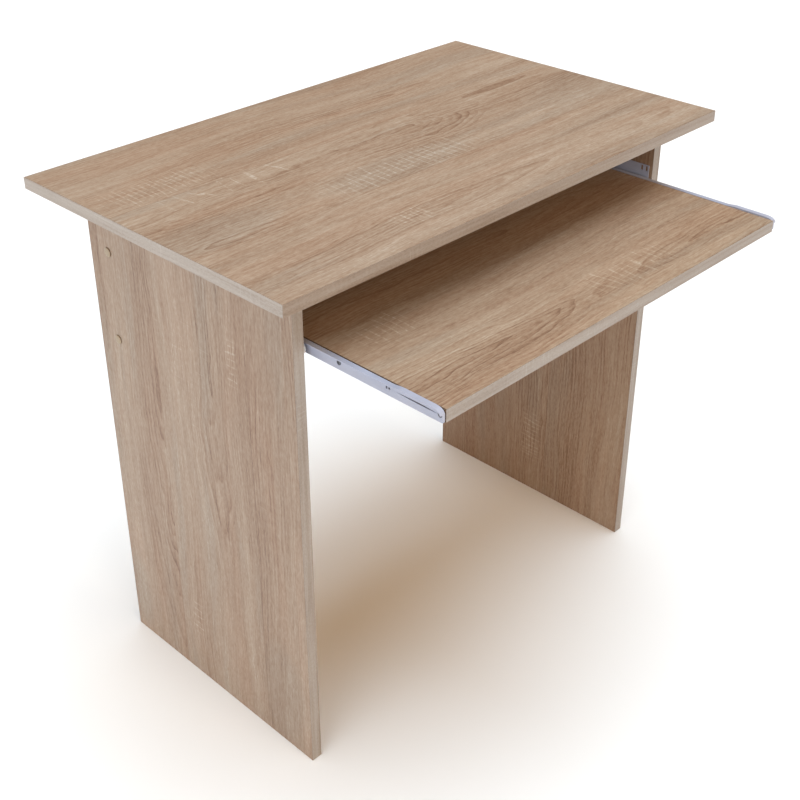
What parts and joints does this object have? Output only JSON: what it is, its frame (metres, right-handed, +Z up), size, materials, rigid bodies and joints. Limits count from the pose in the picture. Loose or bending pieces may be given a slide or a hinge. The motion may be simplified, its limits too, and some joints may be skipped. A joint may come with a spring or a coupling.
{
  "type": "computer desk",
  "caption": "Computer desk with an overhanging worktop on panel legs, a back panel, and a keyboard tray that slides out on roller rails.",
  "frame": {"origin": "on the floor under the centre of the whole footprint, measured with the tray pulled out as it is at rest", "axes": "+X to the user's right, +Z up, and the user sits on the -Y side, towards which the tray slides out"},
  "size_m": [0.825, 0.656, 0.75],
  "materials": {
    "board": "melamine-faced chipboard with a light sawn-oak print, matt with a fine embossed grain",
    "edge_band": "plastic edge banding, paler and greyer than the board, with a faint grain",
    "rail": "white epoxy coating on bent sheet steel, satin",
    "roller": "moulded nylon, satin",
    "steel": "bright zinc plating",
    "cast_zinc": "bare die-cast zinc, dull",
    "cap": "moulded plastic matched to the board, slightly glossy",
    "dowel": "plain beech, fluted in reality"
  },
  "bodies": {
    "desk": {"top_board": "board", "top_band_front": "edge_band", "top_band_back": "edge_band", "top_band_left": "edge_band", "top_band_right": "edge_band", "back_panel": "board", "back_panel_band": "edge_band", "side_panel_left": "board", "side_band_left_front": "edge_band", "side_band_left_back": "edge_band", "cabinet_rail_left": "rail", "front_roller_pin_left": "steel", "cabinet_rail_screw_left_1": "steel", "cabinet_rail_screw_left_2": "steel", "cabinet_rail_screw_left_3": "steel", "confirmat_screw_left_1": "steel", "cover_cap_left_1": "cap", "confirmat_screw_left_2": "steel", "cover_cap_left_2": "cap", "cam_left_front": "cast_zinc", "cam_bolt_left_front": "steel", "dowel_left_front": "dowel", "cam_left_back": "cast_zinc", "cam_bolt_left_back": "steel", "dowel_left_back": "dowel", "side_panel_right": "board", "side_band_right_front": "edge_band", "side_band_right_back": "edge_band", "cabinet_rail_right": "rail", "front_roller_pin_right": "steel", "cabinet_rail_screw_right_1": "steel", "cabinet_rail_screw_right_2": "steel", "cabinet_rail_screw_right_3": "steel", "confirmat_screw_right_1": "steel", "cover_cap_right_1": "cap", "confirmat_screw_right_2": "steel", "cover_cap_right_2": "cap", "cam_right_front": "cast_zinc", "cam_bolt_right_front": "steel", "dowel_right_front": "dowel", "cam_right_back": "cast_zinc", "cam_bolt_right_back": "steel", "dowel_right_back": "dowel"},
    "tray": {"tray_board": "board", "tray_band_front": "edge_band", "tray_band_back": "edge_band", "tray_rail_left": "rail", "tray_rail_screw_left_1": "steel", "tray_rail_screw_left_2": "steel", "tray_rail_screw_left_3": "steel", "rear_roller_pin_left": "steel", "tray_rail_right": "rail", "tray_rail_screw_right_1": "steel", "tray_rail_screw_right_2": "steel", "tray_rail_screw_right_3": "steel", "rear_roller_pin_right": "steel"},
    "front_roller_left": {"front_roller_left": "roller"},
    "rear_roller_left": {"rear_roller_left": "roller"},
    "front_roller_right": {"front_roller_right": "roller"},
    "rear_roller_right": {"rear_roller_right": "roller"}
  },
  "joints": [
    {"name": "tray_slide", "type": "slide", "parent": "desk", "child": "tray", "axis": [0, -1, 0], "range_m": [-0.206, 0.055]},
    {"name": "front_roller_left_spin", "type": "hinge", "parent": "desk", "child": "front_roller_left", "pos_m": [-0.33665, -0.107, 0.6425], "axis": [1, 0, 0], "continuous": true},
    {"name": "rear_roller_left_spin", "type": "hinge", "parent": "tray", "child": "rear_roller_left", "pos_m": [-0.33665, 0.0135, 0.6602], "axis": [1, 0, 0], "continuous": true},
    {"name": "front_roller_right_spin", "type": "hinge", "parent": "desk", "child": "front_roller_right", "pos_m": [0.33665, -0.107, 0.6425], "axis": [1, 0, 0], "continuous": true},
    {"name": "rear_roller_right_spin", "type": "hinge", "parent": "tray", "child": "rear_roller_right", "pos_m": [0.33665, 0.0135, 0.6602], "axis": [1, 0, 0], "continuous": true}
  ],
  "couplings": [
    {"joint": "front_roller_left_spin", "follows": "tray_slide", "rad_per_m": 111.11},
    {"joint": "rear_roller_left_spin", "follows": "tray_slide", "rad_per_m": -111.11},
    {"joint": "front_roller_right_spin", "follows": "tray_slide", "rad_per_m": 111.11},
    {"joint": "rear_roller_right_spin", "follows": "tray_slide", "rad_per_m": -111.11}
  ]
}
